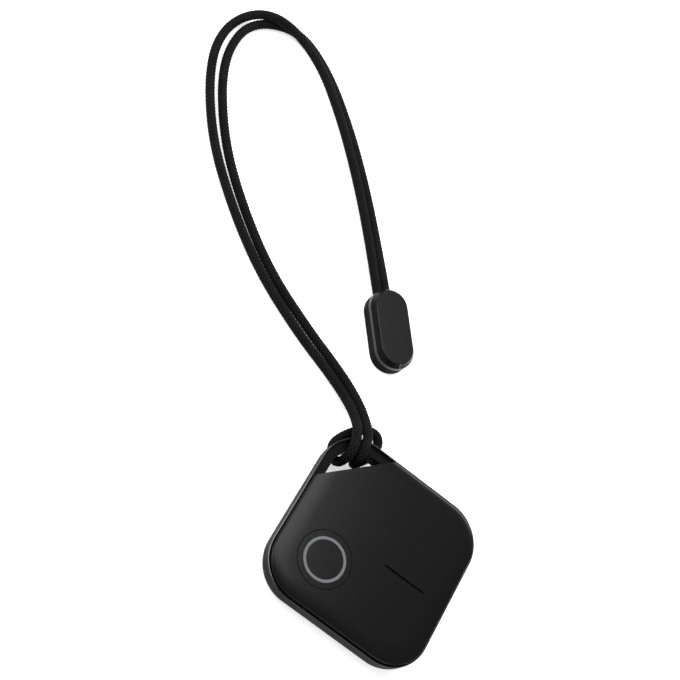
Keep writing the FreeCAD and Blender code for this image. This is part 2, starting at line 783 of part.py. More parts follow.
def make_board_screws():
    """Three pan-head screws, each a solid of its own in one node."""
    blanks = []
    for x, y in SCREW_SPOTS:
        head = doc.addObject("Part::Cylinder", "ScrewHead")
        bind(head, "Radius", "screw_head")
        bind(head, "Height", "screw_head_height")
        bind(head, "Placement.Base.z", BOARD_TOP)
        shank = doc.addObject("Part::Cylinder", "ScrewShank")
        bind(shank, "Radius", "screw_radius")
        bind(shank, "Height", f"{BOARD_TOP} - floor_thickness - screw_lift")
        bind(shank, "Placement.Base.z", "floor_thickness + screw_lift")
        for piece in (head, shank):
            bind(piece, "Placement.Base.x", x)
            bind(piece, "Placement.Base.y", y)
        blank = doc.addObject("Part::Fuse", "ScrewBlank")
        blank.Base = head
        blank.Tool = shank
        blanks.append(blank)
    slots = [make_screw_slot(x, y) for x, y in SCREW_SPOTS]
    finished = []
    for blank, slot in zip(blanks, slots):
        screw = doc.addObject("Part::Cut", "Screw")
        screw.Base = blank
        screw.Tool = slot
        finished.append(screw)
    group = doc.addObject("Part::Compound", "board_screws")
    group.Label = "board_screws"
    group.Links = finished
    doc.recompute()
    return group


def make_screw_slot(x, y):
    """Driver slot across a screw's head."""
    slot = doc.addObject("Part::Box", "DriverSlot")
    bind(slot, "Length", "(screw_head + fit_gap) * 2")
    bind(slot, "Width", "driver_slot")
    bind(slot, "Height", "driver_slot")
    bind(slot, "Placement.Base.x", f"{x} - screw_head - fit_gap")
    bind(slot, "Placement.Base.y", f"{y} - driver_slot / 2")
    bind(slot, "Placement.Base.z", f"{BOARD_TOP} + screw_head_height / 2")
    return slot


def make_block(label, x, y, length, width, height, low=BOARD_TOP, corner="fit_gap"):
    """Small moulded part that sits on the board about a point."""
    body = new_body(label, x, y)
    outline = new_sketch(body, low)
    add_rounded_box(outline, f"({length}) / 2", f"({width}) / 2", corner)
    add_pad(body, outline, height)
    return body


def make_radio_shield():
    """Pressed metal can over the radio chip."""
    body = make_block("radio_shield", "radio_x", "radio_y", "shield_width", "shield_width",
                      "shield_height", corner="shield_round")
    inside = new_sketch(body, BOARD_TOP)
    half = "shield_width / 2 - shield_wall"
    add_rounded_box(inside, half, half, "shield_round - shield_wall")
    add_pocket(body, inside, "shield_height - shield_wall", upward=True)
    return body


def make_board_parts():
    """Row of small capacitors and resistors beside the radio."""
    pieces = []
    for step in range(6):
        part = doc.addObject("Part::Box", "Passive")
        bind(part, "Length", "passive_length")
        bind(part, "Width", "passive_width")
        bind(part, "Height", "passive_height")
        bind(part, "Placement.Base.x", f"passive_x + passive_step * {step % 3}")
        bind(part, "Placement.Base.y", f"passive_y + passive_row * {step // 3}")
        bind(part, "Placement.Base.z", BOARD_TOP)
        pieces.append(part)
    group = doc.addObject("Part::Compound", "board_parts")
    group.Label = "board_parts"
    group.Links = pieces
    doc.recompute()
    return group


# ---------------------------------------------------------------- sounder
PLATE_TOP = f"({COVER_ROOF} - gasket_depth)"


def make_sounder():
    """Piezo sounder glued under the slit: mesh, gasket, brass plate, ceramic, springs."""
    plate_low = f"({PLATE_TOP} - sounder_plate)"
    ceramic_low = f"({plate_low} - sounder_plate)"
    make_disc("sounder_plate", "slit_x", "slit_y", "sounder_radius", plate_low, "sounder_plate")
    make_disc("sounder_ceramic", "slit_x", "slit_y", "sounder_radius - ceramic_inset", ceramic_low,
              "sounder_plate")
    make_ring("sounder_gasket", "slit_x", "slit_y", "sounder_radius - gasket_width",
              "sounder_radius", PLATE_TOP, "gasket_depth")
    make_block("slit_mesh", "slit_x", "slit_y", "mesh_width", "slit_length + mesh_width",
               "mesh_thickness", low=f"{COVER_ROOF} - mesh_thickness")
    body = new_body("sounder_springs", "slit_x", "slit_y")
    inner = new_sketch(body, BOARD_TOP)
    add_rectangle(inner, "spring_x", "spring_x + spring_width", "-spring_width / 2", "spring_width / 2")
    add_pad(body, inner, f"{ceramic_low} - {BOARD_TOP}")
    return body


# ---------------------------------------------------------------- lanyard
def cord_corner(index):
    """Where the arc at a route point starts, its middle, and where it ends."""
    before, spot, after = (FreeCAD.Vector(*CORD_ROUTE[index + k]) for k in (-1, 0, 1))
    arriving = spot - before
    leaving = after - spot
    turn = arriving.getAngle(leaving)
    reach = CORNER_SHARE * min(arriving.Length, leaving.Length)
    radius = reach / math.tan(turn / 2)
    arriving.normalize()
    leaving.normalize()
    inward = leaving - arriving
    inward.normalize()
    middle = spot + inward * (radius / math.cos(turn / 2) - radius)
    return spot - arriving * reach, middle, spot + leaving * reach, radius


def run_middle(run):
    """Middle of the straight run that starts at a route point."""
    return (FreeCAD.Vector(*CORD_ROUTE[run]) + FreeCAD.Vector(*CORD_ROUTE[run + 1])) * 0.5


def make_cord(label, start, first, last, stop):
    """Tube from start to stop, past the route points first to last."""
    edges = []
    here = start
    for index in range(first, last + 1):
        enter, middle, leave, _ = cord_corner(index)
        edges.append(Part.LineSegment(here, enter).toShape())
        edges.append(Part.Arc(enter, middle, leave).toShape())
        here = leave
    edges.append(Part.LineSegment(here, stop).toShape())
    path = Part.Wire(edges)
    radius = amount("cord_diameter / 2")
    section = Part.Wire(Part.Circle(start, edges[0].tangentAt(0), radius).toShape())
    tube = path.makePipeShell([section], True, False)
    expected = math.pi * radius ** 2 * path.Length
    if abs(tube.Volume / expected - 1) > VOLUME_TOLERANCE:
        raise ValueError(f"{label} has volume {tube.Volume:.1f}, not {expected:.1f}")
    cord = doc.addObject("Part::Feature", label)
    cord.Label = label
    cord.Shape = tube
    return path.Length


def make_lanyard_cord():
    """One cord in three stretches: down to the hitch, the hitch, and back."""
    last = len(CORD_ROUTE) - 1
    radii = [cord_corner(index)[3] for index in range(1, last)]
    print("cord bend radii:", " ".join(f"{radius:.1f}" for radius in radii))
    hitch_in = run_middle(HITCH_FIRST_RUN)
    hitch_out = run_middle(HITCH_LAST_RUN)
    length = make_cord("cord_near", FreeCAD.Vector(*CORD_ROUTE[0]), 1, HITCH_FIRST_RUN, hitch_in)
    length += make_cord("cord_hitch", hitch_in, HITCH_FIRST_RUN + 1, HITCH_LAST_RUN, hitch_out)
    length += make_cord("cord_far", hitch_out, HITCH_LAST_RUN + 1, last - 1,
                        FreeCAD.Vector(*CORD_ROUTE[last]))
    print(f"cord length: {length:.1f}")


def turn_to_end(body):
    """Lay a body along the lanyard's end piece."""
    body.Placement = FreeCAD.Placement(FreeCAD.Vector(), FreeCAD.Rotation(FreeCAD.Vector(0, 0, 1), 1))
    bind(body, "Placement.Base.x", "end_x")
    bind(body, "Placement.Base.y", "end_y")
    bind(body, "Placement.Rotation.Angle", "end_angle * 1deg")


def make_end_half(label, low, height):
    """Stadium-shaped half of the end piece, still solid."""
    body = new_body(label)
    turn_to_end(body)
    outline = new_sketch(body, low)
    add_rounded_box(outline, "end_length / 2", "end_width / 2", "end_width / 2 - least_side")
    add_pad(body, outline, height)
    return body


def open_passage(body, level, depth, upward=False):
    """Room for the crimp and the two cords, cut from the seam."""
    room = new_sketch(body, level)
    half = "(cord_diameter + crimp_wall + fit_gap)"
    add_rectangle(room, "crimp_x - crimp_length - fit_gap", "end_length / 2 + 1", f"-{half}", half)
    add_pocket(body, room, depth, upward)


def make_cord_end():
    """End piece of the lanyard: two halves closed over the crimped ends of the cord."""
    back_top = "(end_height / 2 - end_seam / 2)"
    front_low = "(end_height / 2 + end_seam / 2)"
    back = make_end_half("end_piece_back", "0", back_top)
    add_fillet(back, level_edges(back, 0), "end_underside_round")
    open_passage(back, back_top, f"{back_top} - end_floor")

    front = make_end_half("end_piece_front", front_low, f"end_height - {front_low}")
    worked = front.Tip
    rim = level_edges(front, amount("end_height"))
    bevel = front.newObject("PartDesign::Chamfer", "Bevel")
    bevel.Base = (worked, rim)
    bevel.ChamferType = "Two distances"
    bind(bevel, "Size", "end_bevel_in")
    bind(bevel, "Size2", "end_bevel_down")
    doc.recompute()
    open_passage(front, front_low, f"end_height - end_roof - {front_low}", upward=True)

    crimp = new_body("cord_crimp")
    turn_to_end(crimp)
    block = new_sketch(crimp, "crimp_bottom")
    half = "(cord_diameter + crimp_wall)"
    add_rectangle(block, "crimp_x - crimp_length", "crimp_x", f"-{half}", half)
    add_pad(crimp, block, "crimp_height")


# ---------------------------------------------------------------- whole part
def make_all():
    make_rear_shell()
    make_front_cover()
    make_cover_gasket()
    make_function_button()
    make_button_ring()
    make_switch_body()
    make_switch_plunger()
    make_battery_door()
    make_door_seal()
    make_door_pad()
    make_coin_cell()
    make_battery_frame()
    make_positive_contact()
    make_negative_contact()
    make_circuit_board()
    make_board_screws()
    make_radio_shield()
    make_block("radio_chip", "radio_x", "radio_y", "chip_width", "chip_width", "chip_height")
    make_block("crystal", "crystal_x", "radio_y", "crystal_width", "crystal_length", "chip_height")
    make_block("antenna", "antenna_x", "antenna_y", "antenna_width", "antenna_length", "antenna_height")
    make_board_parts()
    make_sounder()
    make_lanyard_cord()
    make_cord_end()


def sub_parts():
    """Every object that is a piece of its own: the bodies, the groups and the cords."""
    bodies = [item for item in doc.Objects if item.TypeId == "PartDesign::Body"]
    others = [item for item in doc.Objects if item.TypeId in ("Part::Compound", "Part::Feature")]
    return bodies + others


def check_and_write():
    """Refuse a failed object or a bad solid, then write one file for each sub-part."""
    doc.recompute()
    for item in doc.Objects:
        if "Invalid" in item.State or "Error" in item.State:
            raise ValueError(f"{item.Label} failed: {item.State}")
    pieces = sub_parts()
    for piece in pieces:
        if piece.Shape.isNull() or not piece.Shape.isValid() or not piece.Shape.Solids:
            raise ValueError(f"{piece.Label} is not a valid solid")
    os.makedirs("parts", exist_ok=True)
    for piece in pieces:
        piece.Shape.exportStep(f"parts/{piece.Label}.step")
    print(f"{len(pieces)} sub-parts written")


make_sheet()
PROBE = doc.addObject("App::FeaturePython", "Probe")
make_all()
check_and_write()
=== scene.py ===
"""Looks of the tracker tag and its lanyard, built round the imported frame. Metres."""
import json
import math

import bmesh
import bpy
from mathutils import Matrix, Vector


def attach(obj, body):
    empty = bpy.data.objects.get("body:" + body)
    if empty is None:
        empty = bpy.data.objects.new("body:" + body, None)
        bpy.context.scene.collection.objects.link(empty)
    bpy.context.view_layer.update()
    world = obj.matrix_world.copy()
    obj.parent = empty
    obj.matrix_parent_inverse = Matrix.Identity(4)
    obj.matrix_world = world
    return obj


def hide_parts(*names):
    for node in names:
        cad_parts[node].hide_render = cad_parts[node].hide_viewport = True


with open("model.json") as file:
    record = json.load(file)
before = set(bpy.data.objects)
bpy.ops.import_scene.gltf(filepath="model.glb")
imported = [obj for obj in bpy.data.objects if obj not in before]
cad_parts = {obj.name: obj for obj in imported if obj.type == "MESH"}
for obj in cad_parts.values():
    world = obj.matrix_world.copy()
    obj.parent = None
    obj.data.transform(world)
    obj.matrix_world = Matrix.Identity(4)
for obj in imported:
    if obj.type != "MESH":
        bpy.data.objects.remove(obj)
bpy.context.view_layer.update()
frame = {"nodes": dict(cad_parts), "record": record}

MM = 0.001
NODES = frame["nodes"]
SLOTS = {row["node"]: row["material_slot"] for row in frame["record"]["subparts"]}


def place_object(name, data):
    """Object of its own for a mesh, curve, lamp or camera, linked to the scene."""
    placed = bpy.data.objects.new(name, data)
    bpy.context.scene.collection.objects.link(placed)
    return placed


# ------------------------------------------------------------------ camera
VIEW_PLACE = Vector((-117.85, 76.40, 265.08)) * MM
VIEW_RIGHT = Vector((0.46404, -0.78233, 0.41547))
VIEW_UP = Vector((0.73183, 0.60285, 0.31779))
LENS = 77.2
SENSOR_WIDTH = 36.0
NEAREST_SEEN = 10 * MM


def add_camera():
    """Camera that looks down on the tag with the lanyard laid out beyond it."""
    camera = bpy.data.cameras.new("camera")
    camera.lens = LENS
    camera.sensor_width = SENSOR_WIDTH
    camera.clip_start = NEAREST_SEEN
    seat = place_object("camera", camera)
    back = VIEW_RIGHT.cross(VIEW_UP)
    turn = Matrix((VIEW_RIGHT, VIEW_UP, back)).transposed()
    seat.matrix_world = Matrix.Translation(VIEW_PLACE) @ turn.to_4x4()
    bpy.context.scene.camera = seat


add_camera()

# ------------------------------------------------------------------ cord route
# Control points of the cord's middle line, in millimetres, as in the solid cord.
CORD_ROUTE = [
    (48.45, 24.1, 1.6), (58.5, 32.5, 2.0), (70.8, 43.7, 2.4), (81.3, 54.9, 2.8),
    (89.8, 66.1, 3.1), (92.6, 77.0, 3.6), (90.4, 83.9, 2.6), (83.2, 87.6, 1.05),
    (72.6, 85.6, 1.05), (58.4, 76.2, 1.05), (48.0, 64.9, 1.05), (38.3, 51.0, 1.05),
    (31.9, 36.3, 1.05), (28.7, 25.9, 1.05), (25.4, 19.5, 2.2), (21.6, 16.5, 4.8),
    (17.9, 15.4, 7.5), (13.4, 14.5, 7.6), (12.4, 14.8, 1.05), (15.4, 17.8, 1.05),
    (18.5, 16.8, 2.2), (22.9, 13.6, 2.2), (23.6, 9.7, 1.6), (19.6, 8.6, 1.05),
    (14.1, 12.1, 1.05),
    (14.6, 12.4, 7.6), (19.05, 13.2, 7.45), (22.8, 14.7, 4.8), (26.9, 17.8, 2.2),
    (30.6, 24.3, 1.05), (34.0, 34.9, 1.05), (39.8, 49.0, 1.05), (49.3, 62.6, 1.05),
    (59.3, 73.3, 1.05), (73.1, 82.6, 1.05), (83.8, 84.6, 1.05), (90.6, 81.4, 1.05),
    (94.6, 73.5, 1.05), (90.6, 63.2, 1.05), (82.4, 52.5, 1.05), (72.8, 42.4, 1.15),
    (60.2, 31.1, 1.35), (49.85, 22.3, 1.4),
]
CORD_DIAMETER = 2.1 * MM
ROUTE_STEPS = 24


def route_curve():
    """NURBS spline with the route's points as its control points."""
    curve = bpy.data.curves.new("lanyard_route", "CURVE")
    curve.dimensions = "3D"
    curve.resolution_u = ROUTE_STEPS
    spline = curve.splines.new("NURBS")
    spline.points.add(len(CORD_ROUTE) - 1)
    for point, spot in zip(spline.points, CORD_ROUTE):
        point.co = (*(Vector(spot) * MM), 1.0)
    spline.order_u = 3
    spline.use_endpoint_u = True
    return place_object("lanyard_route", curve)


def plain_mesh(source, name):
    """The evaluated object's mesh as a new object of its own."""
    bpy.context.view_layer.update()
    depsgraph = bpy.context.evaluated_depsgraph_get()
    mesh = bpy.data.meshes.new_from_object(source.evaluated_get(depsgraph), depsgraph=depsgraph)
    mesh.name = name
    return place_object(name, mesh)


# ------------------------------------------------------------------ node helpers
# A mix node's first blended input and its output, by the kind of data.
MIX_SOCKETS = {"FLOAT": (2, 0), "RGBA": (6, 2)}


class Nodes:
    """Short calls for building one node tree, for a shader or for geometry."""

    def __init__(self, tree):
        self.tree = tree

    def add(self, kind, *inputs, **settings):
        """Node with its settings, its inputs given in order (None leaves one alone)."""
        node = self.tree.nodes.new(kind)
        for key, setting in settings.items():
            setattr(node, key, setting)
        for socket, value in zip([s for s in node.inputs if s.enabled], inputs):
            self.feed(socket, value)
        return node

    def feed(self, socket, value):
        """Link a socket to another node's output, or set it to a constant."""
        if value is None:
            return
        if isinstance(value, bpy.types.NodeSocket):
            self.tree.links.new(value, socket)
        else:
            socket.default_value = value

    def math(self, operation, *values):
        """Output of a maths node, the values given in order."""
        node = self.tree.nodes.new("ShaderNodeMath")
        node.operation = operation
        for socket, value in zip(node.inputs, values):
            self.feed(socket, value)
        return node.outputs[0]

    def mix(self, kind, share, low, high):
        """Low blended to high by a share from 0 to 1, for a colour or a number."""
        node = self.add("ShaderNodeMix", data_type=kind)
        first, out = MIX_SOCKETS[kind]
        self.feed(node.inputs[0], share)
        self.feed(node.inputs[first], low)
        self.feed(node.inputs[first + 1], high)
        return node.outputs[out]


def new_group(kind, name, inputs, outputs):
    """Node group with named sockets: its helper, its given values and its results."""
    tree = bpy.data.node_groups.new(name, kind)
    for label, socket, default in inputs:
        made = tree.interface.new_socket(label, in_out="INPUT", socket_type=socket)
        if default is not None:
            made.default_value = default
    for label, socket in outputs:
        tree.interface.new_socket(label, in_out="OUTPUT", socket_type=socket)
    nodes = Nodes(tree)
    start = tree.nodes.new("NodeGroupInput")
    end = tree.nodes.new("NodeGroupOutput")
    return nodes, start.outputs, end.inputs


# ------------------------------------------------------------------ shader groups
def make_grain_group():
    """Moulded or fibrous grain: a fine height and a slower blotchy mask."""
    nodes, given, out = new_group(
        "ShaderNodeTree", "grain",
        [("Grain Size", "NodeSocketFloat", 0.0002), ("Stretch", "NodeSocketVector", (1, 1, 1)),
         ("Blotch Size", "NodeSocketFloat", 0.006)],
        [("Height", "NodeSocketFloat"), ("Blotch", "NodeSocketFloat")])
    place = nodes.add("ShaderNodeTexCoord").outputs["Object"]
    stretched = nodes.add("ShaderNodeVectorMath", place, given["Stretch"], operation="MULTIPLY")
    fine = nodes.add("ShaderNodeTexNoise")
    nodes.feed(fine.inputs["Vector"], stretched.outputs[0])
    nodes.feed(fine.inputs["Scale"], nodes.math("DIVIDE", 1.0, given["Grain Size"]))
    fine.inputs["Detail"].default_value = 3.0
    slow = nodes.add("ShaderNodeTexNoise")
    nodes.feed(slow.inputs["Vector"], place)
    nodes.feed(slow.inputs["Scale"], nodes.math("DIVIDE", 1.0, given["Blotch Size"]))
    slow.inputs["Detail"].default_value = 4.0
    nodes.feed(out["Height"], fine.outputs[0])
    nodes.feed(out["Blotch"], slow.outputs[0])
    return nodes.tree


def make_dust_group():
    """Sparse specks of dust: a mask that is 1 on a speck."""
    nodes, given, out = new_group(
        "ShaderNodeTree", "dust",
        [("Spacing", "NodeSocketFloat", 0.002), ("Amount", "NodeSocketFloat", 0.1)],
        [("Specks", "NodeSocketFloat")])
    place = nodes.add("ShaderNodeTexCoord").outputs["Object"]
    cells = nodes.add("ShaderNodeTexVoronoi")
    nodes.feed(cells.inputs["Vector"], place)
    nodes.feed(cells.inputs["Scale"], nodes.math("DIVIDE", 1.0, given["Spacing"]))
    near = nodes.math("LESS_THAN", cells.outputs["Distance"], given["Amount"])
    nodes.feed(out["Specks"], near)
    return nodes.tree


GRAIN = make_grain_group()
DUST = make_dust_group()
DUST_COLOUR = (0.4, 0.4, 0.38, 1.0)
DUST_COVER = 0.12
COAT_ROUGHNESS = 0.05
# The noise's middle range, which holds nearly all of its values.
MASK_LOW = 0.2
MASK_HIGH = 0.8


def new_material(name):
    """Material, the helper for its nodes and its surface shader."""
    material = bpy.data.materials.new(name)
    material.use_nodes = True
    nodes = Nodes(material.node_tree)
    shader = material.node_tree.nodes["Principled BSDF"]
    return material, nodes, shader


def add_grain(nodes, grain_size, stretch, blotch_size):
    """Grain group in a material: its fine height and its slow mask."""
    grain = nodes.add("ShaderNodeGroup", node_tree=GRAIN)
    grain.inputs["Grain Size"].default_value = grain_size
    grain.inputs["Stretch"].default_value = stretch
    grain.inputs["Blotch Size"].default_value = blotch_size
    return grain.outputs["Height"], grain.outputs["Blotch"]


def spread(nodes, mask, low, high):
    """A mask's middle range turned into values from low to high."""
    return nodes.add("ShaderNodeMapRange", mask, MASK_LOW, MASK_HIGH, low, high).outputs[0]


def add_bump(nodes, shader, height, depth):
    """Fine relief of a given depth on the surface."""
    bump = nodes.add("ShaderNodeBump")
    bump.inputs["Distance"].default_value = depth
    nodes.feed(bump.inputs["Height"], height)
    nodes.feed(shader.inputs["Normal"], bump.outputs[0])


def finish_material(name, colour, rough, grain_size=0.0002, depth=0.00001, stretch=(1, 1, 1),
                    blotch=0.006, tint=1.25, uneven=0.15, metallic=0.0, specular=0.5, coat=0.0,
                    dust=0.0):
    """Plastic, rubber or metal with grain, a little colour change, uneven gloss and dust."""
    material, nodes, shader = new_material(name)
    height, mask = add_grain(nodes, grain_size, stretch, blotch)
    darker = (*[c / tint for c in colour], 1.0)
    lighter = (*[min(1.0, c * tint) for c in colour], 1.0)
    base = nodes.mix("RGBA", mask, darker, lighter)
    roughness = spread(nodes, mask, rough * (1 - uneven), min(1.0, rough * (1 + uneven)))
    if dust:
        specks = nodes.add("ShaderNodeGroup", node_tree=DUST)
        specks.inputs["Amount"].default_value = dust
        covered = nodes.math("MULTIPLY", specks.outputs[0], DUST_COVER)
        base = nodes.mix("RGBA", covered, base, DUST_COLOUR)
    nodes.feed(shader.inputs["Base Color"], base)
    nodes.feed(shader.inputs["Roughness"], roughness)
    add_bump(nodes, shader, height, depth)
    shader.inputs["Metallic"].default_value = metallic
    shader.inputs["Specular IOR Level"].default_value = specular
    shader.inputs["Coat Weight"].default_value = coat
    shader.inputs["Coat Roughness"].default_value = COAT_ROUGHNESS
    return material


# Painted shade in the valleys between the yarns, the yarn's own black on their crowns, and how
# fast the painted shade falls off a crown.
VALLEY_PAINTED_SHADE = (0.0004, 0.0004, 0.0004, 1.0)
YARN_BLACK = (0.026, 0.026, 0.0265, 1.0)
PAINTED_SHADE_FALLOFF = 1.8
FIBRE_SIZE = 0.12 * MM
FIBRE_DEPTH = 0.04 * MM
FADE_SIZE = 4 * MM


def make_braid_material():
    """Black braid with fine fibres: the yarn's black on each crown, painted shade between the
    yarns.
    """
    material, nodes, shader = new_material("black_braid")
    crown = nodes.add("ShaderNodeAttribute", attribute_name="crown").outputs["Fac"]
    height, mask = add_grain(nodes, FIBRE_SIZE, (1, 1, 1), FADE_SIZE)
    # Painted shade: the colour darkens towards each yarn's sides and ends by its crown height,
    # with a slow random change of tone.
    lift = nodes.math("MULTIPLY", nodes.math("POWER", crown, PAINTED_SHADE_FALLOFF),
                      nodes.math("ADD", 0.5, mask))
    nodes.feed(shader.inputs["Base Color"], nodes.mix("RGBA", lift, VALLEY_PAINTED_SHADE, YARN_BLACK))
    nodes.feed(shader.inputs["Roughness"], spread(nodes, height, 0.6, 0.9))
    add_bump(nodes, shader, height, FIBRE_DEPTH)
    shader.inputs["Specular IOR Level"].default_value = 0.06
    shader.inputs["Sheen Weight"].default_value = 0.01
    return material


def polish_rim(material, low, high):
    """Clear gloss that starts between two heights, as where a rim has been buffed."""
    nodes = Nodes(material.node_tree)
    shader = material.node_tree.nodes["Principled BSDF"]
    place = nodes.add("ShaderNodeTexCoord").outputs["Object"]
    height = nodes.add("ShaderNodeSeparateXYZ", place).outputs["Z"]
    gloss = nodes.add("ShaderNodeMapRange", height, low, high, 0.0, 1.0)
    nodes.feed(shader.inputs["Coat Weight"], gloss.outputs[0])


BLACK_GLOSS = finish_material("black_gloss", (0.003, 0.003, 0.0031), 0.5, depth=0.000001,
                              specular=0.05, dust=0.03)
polish_rim(BLACK_GLOSS, 6.08 * MM, 6.14 * MM)
SOFT_BLACK = finish_material("soft_black", (0.0045, 0.0045, 0.0046), 0.22, grain_size=0.00008,
                             depth=0.000002, specular=0.14, blotch=0.02, tint=1.1, uneven=0.03)
FINISHES = {
    "gloss_shell": BLACK_GLOSS,
    "soft_cover": SOFT_BLACK,
    "mark_grey": finish_material("grey_print", (0.10, 0.105, 0.115), 0.5, depth=0.000004),
    "seal_rubber": finish_material("seal_rubber", (0.015, 0.015, 0.015), 0.8, depth=0.00002),
    "steel": finish_material("rolled_steel", (0.55, 0.55, 0.56), 0.3, metallic=1.0,
                             stretch=(0.1, 1, 1), depth=0.000004),
    "spring_metal": finish_material("plated_spring", (0.7, 0.58, 0.35), 0.25, metallic=1.0),
    "brass": finish_material("sounder_brass", (0.75, 0.58, 0.25), 0.3, metallic=1.0),
    "board_green": finish_material("solder_mask", (0.02, 0.16, 0.06), 0.35, coat=0.3),
    "board_black": finish_material("moulded_black", (0.02, 0.02, 0.02), 0.6),
    "ceramic_white": finish_material("fired_ceramic", (0.75, 0.73, 0.68), 0.4),
    "gloss_end": finish_material("satin_end", (0.004, 0.004, 0.0041), 0.25, uneven=0.05,
                                 grain_size=0.00008, depth=0.000002, specular=0.15, tint=1.1),
    "matt_end": finish_material("matt_end", (0.002, 0.002, 0.0021), 0.6,
                                grain_size=0.0001, depth=0.000003, specular=0.04),
}
BRAID = make_braid_material()


def finish_cad_nodes():
    """Each carried-over solid takes the finish of its slot."""
    for node, slot in SLOTS.items():
        if slot in FINISHES:
            mesh = NODES[node].data
            mesh.materials.clear()
            mesh.materials.append(FINISHES[slot])


finish_cad_nodes()


# ------------------------------------------------------------------ tag body and buttons
BODY_HALF = 19.1 * MM
CORNER_ROUND = 8.8 * MM
RIM_HEIGHT = 6.2 * MM
COVER_INSET = 0.5 * MM
COVER_FOOT = 5.25 * MM
COVER_BROW = 6.7 * MM
COVER_TOP = 7.2 * MM
COVER_SKIRT = 1.5 * MM
COVER_THICKNESS = 1.0 * MM
CROWN_REACH = 4.5 * MM
CROWN_POWER = 2.5
CROWN_RINGS = 24
CUT_OFFSET = 16.9 * MM
FIT_GAP = 0.1 * MM
BUTTON_PLACE = (-8.3 * MM, 8.2 * MM)
BUTTON_RADIUS = 5.85 * MM
SLIT_PLACE = (-1.6 * MM, -8.0 * MM)
SLIT_SIZE = (0.4 * MM, 10.0 * MM)
ARC_STEPS = 24
SLIT_END_STEPS = 8
# A slot's end arc is this share of a half circle, so that no two points meet.
SLIT_END_SHARE = 0.98
COVER_EDGE = 0.08 * MM
SHARP_DEGREES = 35
MERGE_DISTANCE = 0.001 * MM
FLAT_DEGREES = 0.3
# Solids shown as themselves: the node, the body it rides on and its edge round.
REFINED_NODES = [
    ("rear_shell", "housing", 0.05 * MM),
    ("battery_door", "door", 0.08 * MM),
    ("function_button", "button", 0.04 * MM),
    ("button_ring", "button", 0.02 * MM),
    ("end_piece_front", "housing", 0.12 * MM),
    ("end_piece_back", "housing", 0.08 * MM),
]


def rounded_outline(half_x, half_y, radius, steps=ARC_STEPS):
    """Points of a rounded rectangle about the origin, anticlockwise."""
    points = []
    for quarter, (side_x, side_y) in enumerate(((1, 1), (-1, 1), (-1, -1), (1, -1))):
        for step in range(steps + 1):
            angle = math.pi / 2 * (quarter + step / steps)
            points.append((side_x * (half_x - radius) + radius * math.cos(angle),
                           side_y * (half_y - radius) + radius * math.sin(angle)))
    return points


def link_mesh(name, shape):
    """Object made of a bmesh, standing at the origin."""
    bmesh.ops.recalc_face_normals(shape, faces=shape.faces)
    mesh = bpy.data.meshes.new(name)
    shape.to_mesh(mesh)
    shape.free()
    return place_object(name, mesh)


def stacked_rings(name, rings):
    """Closed solid through rings of equally many points, flat at both ends."""
    shape = bmesh.new()
    loops = [[shape.verts.new(spot) for spot in ring] for ring in rings]
    count = len(loops[0])
    for low, high in zip(loops, loops[1:]):
        for i in range(count):
            j = (i + 1) % count
            shape.faces.new((low[i], low[j], high[j], high[i]))
    shape.faces.new(loops[0])
    shape.faces.new(loops[-1])
    return link_mesh(name, shape)


def prism(name, outline, low, high, place=(0.0, 0.0)):
    """Upright solid of one plan between two heights."""
    rings = [[(x + place[0], y + place[1], z) for x, y in outline] for z in (low, high)]
    return stacked_rings(name, rings)


def cut_away(piece, cutters):
    """Difference with each cutter, which is then dropped."""
    for cutter in cutters:
        cut = piece.modifiers.new(cutter.name, "BOOLEAN")
        cut.operation = "DIFFERENCE"
        cut.solver = "EXACT"
        cut.object = cutter
    carved = plain_mesh(piece, piece.name)
    for spent in (piece, *cutters):
        bpy.data.objects.remove(spent)
    return carved


def soften_edges(piece, name, width):
    """Round the sharp edges a little and shade each face by its own size."""
    mesh = piece.data
    mesh.shade_smooth()
    mesh.set_sharp_from_angle(angle=math.radians(SHARP_DEGREES))
    bevel = piece.modifiers.new("edge_round", "BEVEL")
    bevel.width = width
    bevel.segments = 2
    bevel.limit_method = "ANGLE"
    bevel.angle_limit = math.radians(SHARP_DEGREES)
    bevel.harden_normals = True
    piece.modifiers.new("face_weights", "WEIGHTED_NORMAL").keep_sharp = True
    finished = plain_mesh(piece, name)
    bpy.data.objects.remove(piece)
    return finished


def merged_copy(node):
    """A solid's loose triangles as one joined mesh with its flat faces whole."""
    source = NODES[node]
    shape = bmesh.new()
    shape.from_mesh(source.data)
    shape.transform(source.matrix_world)
    bmesh.ops.remove_doubles(shape, verts=shape.verts, dist=MERGE_DISTANCE)
    bmesh.ops.dissolve_limit(shape, angle_limit=math.radians(FLAT_DEGREES),
                             verts=shape.verts, edges=shape.edges)
    return link_mesh(f"{node}_copy", shape)


def hand_over(piece, node, body, finish):
    """The piece takes a node's place, its body and its finish."""
    piece.data.materials.clear()
    piece.data.materials.append(finish)
    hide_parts(node)
    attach(piece, body)


def corner_triangle(offset):
    """Plan of the lanyard corner past a diagonal line."""
    far = BODY_HALF * 2
    near = offset * math.sqrt(2) - far
    return [(far, near), (far, far), (near, far)]


def five_sided(half, offset, radius):
    """Rounded square with the lanyard corner cut straight."""
    reach = offset * math.sqrt(2) - half
    kept = [(x, y) for x, y in rounded_outline(half, half, radius) if x + y < half + reach]
    return [(reach, half)] + kept + [(half, reach)]


def cover_blank():
    """The cover before its openings: skirt, then a crown that rolls over to flat."""
    half = BODY_HALF - COVER_INSET
    radius = CORNER_ROUND - COVER_INSET
    crown_height = COVER_TOP - COVER_BROW
    levels = [(0.0, COVER_FOOT)]
    for ring in range(CROWN_RINGS + 1):
        angle = math.pi / 2 * ring / CROWN_RINGS
        inset = CROWN_REACH * (1 - math.cos(angle) ** (2 / CROWN_POWER))
        height = COVER_BROW + crown_height * math.sin(angle) ** (2 / CROWN_POWER)
        levels.append((inset, height))
    rings = []
    for inset, height in levels:
        outline = rounded_outline(half - inset, half - inset, radius - inset)
        rings.append([(x, y, height) for x, y in outline])
    return stacked_rings("cover_blank", rings)


